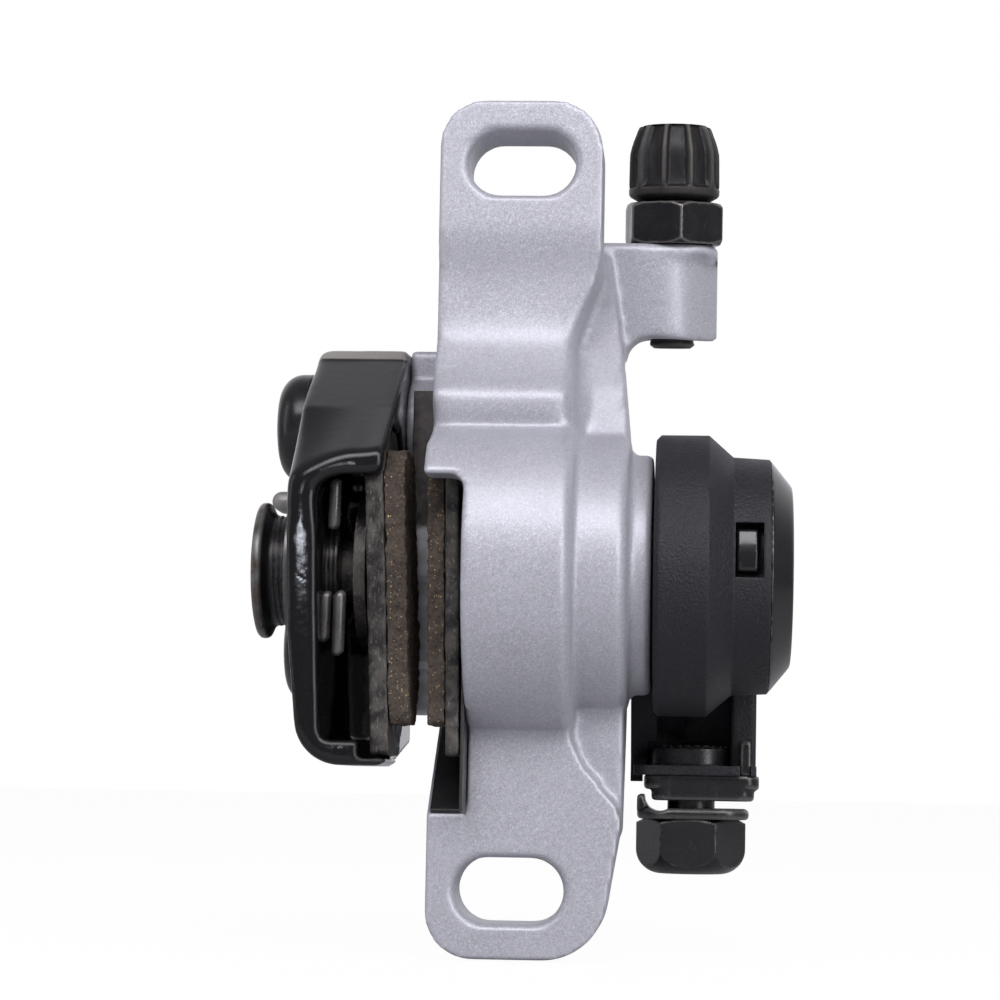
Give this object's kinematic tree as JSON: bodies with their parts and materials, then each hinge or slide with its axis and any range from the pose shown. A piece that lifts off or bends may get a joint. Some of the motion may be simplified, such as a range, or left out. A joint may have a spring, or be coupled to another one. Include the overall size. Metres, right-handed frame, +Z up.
{
  "type": "bicycle disc brake caliper",
  "caption": "Cable-operated disc brake caliper for a post mount, with slotted ears, ball-ramp actuator, adjustable fixed pad, barrel adjuster and cable clamp on the arm.",
  "frame": {"origin": "midpoint between the two mounting slots, in the plane of the ear faces that sit on the mount", "axes": "+X along the wheel axle from the bracket towards the cable arm, +Y away from the mount face towards the bolt heads, +Z up through the ears"},
  "size_m": [0.0552, 0.0402, 0.0903],
  "materials": {
    "cast_silver": "fine metallic paint, satin",
    "black_enamel": "gloss black enamel",
    "arm_black": "matte black powder coat",
    "black_oxide": "black oxide, satin",
    "pad_steel": "sheared, dark",
    "lining": "sintered friction material",
    "bright_steel": "plated",
    "spring_steel": "dark spring steel",
    "bearing_bronze": "plain bearing",
    "seal_rubber": "matt",
    "black_plastic": "fine matt"
  },
  "bodies": {
    "caliper": {"caliper_body": "cast_silver", "pad_bracket": "black_enamel", "bracket_bolts": "black_oxide", "bracket_washers": "black_oxide", "adjuster_detent": "black_oxide", "pad_retainer": "bright_steel", "pad_spring": "spring_steel", "pocket_liner": "spring_steel", "thrust_washer": "bearing_bronze", "bushing": "bearing_bronze", "dust_seal": "seal_rubber", "return_spring": "bright_steel"},
    "arm": {"actuator_arm": "arm_black", "arm_bolt": "black_oxide", "arm_washer": "black_oxide", "arm_cap": "black_plastic", "cam_shaft": "bright_steel", "rotating_ramp": "bright_steel", "clamp_nut": "black_oxide", "clamp_platform": "black_oxide"},
    "moving_pad": {"piston": "bright_steel", "moving_pad_plate": "pad_steel", "moving_pad_lining": "lining"},
    "ball_set": {"ball_cage": "bearing_bronze", "balls": "bright_steel"},
    "fixed_pad": {"pressure_plate": "black_oxide", "fixed_pad_plate": "pad_steel", "fixed_pad_lining": "lining"},
    "adjuster": {"pad_adjuster": "black_oxide"},
    "lock_nut": {"jam_nut": "black_oxide"},
    "barrel": {"barrel_adjuster": "black_oxide"},
    "cable_plate": {"clamp_plate": "black_oxide"},
    "cable_bolt": {"clamp_bolt": "black_oxide"}
  },
  "joints": [
    {"name": "arm_turn", "type": "hinge", "parent": "caliper", "child": "arm", "pos_m": [0, 0.005, -0.00475], "axis": [1, 0, 0], "range_deg": [0, 35], "stiffness_Nm_per_rad": 0.35, "springref_deg": -34.38, "deforming": ["return_spring"]},
    {"name": "piston_slide", "type": "slide", "parent": "caliper", "child": "moving_pad", "axis": [-1, 0, 0], "range_m": [0, 0.00121]},
    {"name": "ball_roll", "type": "hinge", "parent": "moving_pad", "child": "ball_set", "pos_m": [0, 0.005, -0.00475], "axis": [1, 0, 0], "range_deg": [0, 17.6]},
    {"name": "fixed_pad_slide", "type": "slide", "parent": "caliper", "child": "fixed_pad", "axis": [1, 0, 0], "range_m": [-0.0008, 0.0004]},
    {"name": "adjuster_turn", "type": "hinge", "parent": "fixed_pad", "child": "adjuster", "pos_m": [0, 0.005, -0.00475], "axis": [1, 0, 0], "range_deg": [-288.5, 144.5]},
    {"name": "lock_nut_shift", "type": "slide", "parent": "caliper", "child": "lock_nut", "axis": [0, -0.1478, 0.989], "range_m": [0, 0.003]},
    {"name": "barrel_turn", "type": "hinge", "parent": "lock_nut", "child": "barrel", "pos_m": [0.01595, 0.02081, 0.03775], "axis": [0, 0.1478, -0.989], "range_deg": [0, 1081]},
    {"name": "cable_plate_shift", "type": "slide", "parent": "arm", "child": "cable_plate", "axis": [0, 0, -1], "range_m": [0, 0.0012]},
    {"name": "cable_bolt_turn", "type": "hinge", "parent": "cable_plate", "child": "cable_bolt", "pos_m": [0.01875, 0.0145, -0.0297], "axis": [0, 0, -1], "range_deg": [0, 432.5]}
  ],
  "couplings": [
    {"joint": "piston_slide", "follows": "arm_turn", "m_per_rad": 0.0019644},
    {"joint": "ball_roll", "follows": "arm_turn", "ratio": 0.5},
    {"joint": "adjuster_turn", "follows": "fixed_pad_slide", "rad_per_m": 6283.2},
    {"joint": "barrel_turn", "follows": "lock_nut_shift", "rad_per_m": 6283.2},
    {"joint": "cable_bolt_turn", "follows": "cable_plate_shift", "rad_per_m": 6283.2}
  ]
}
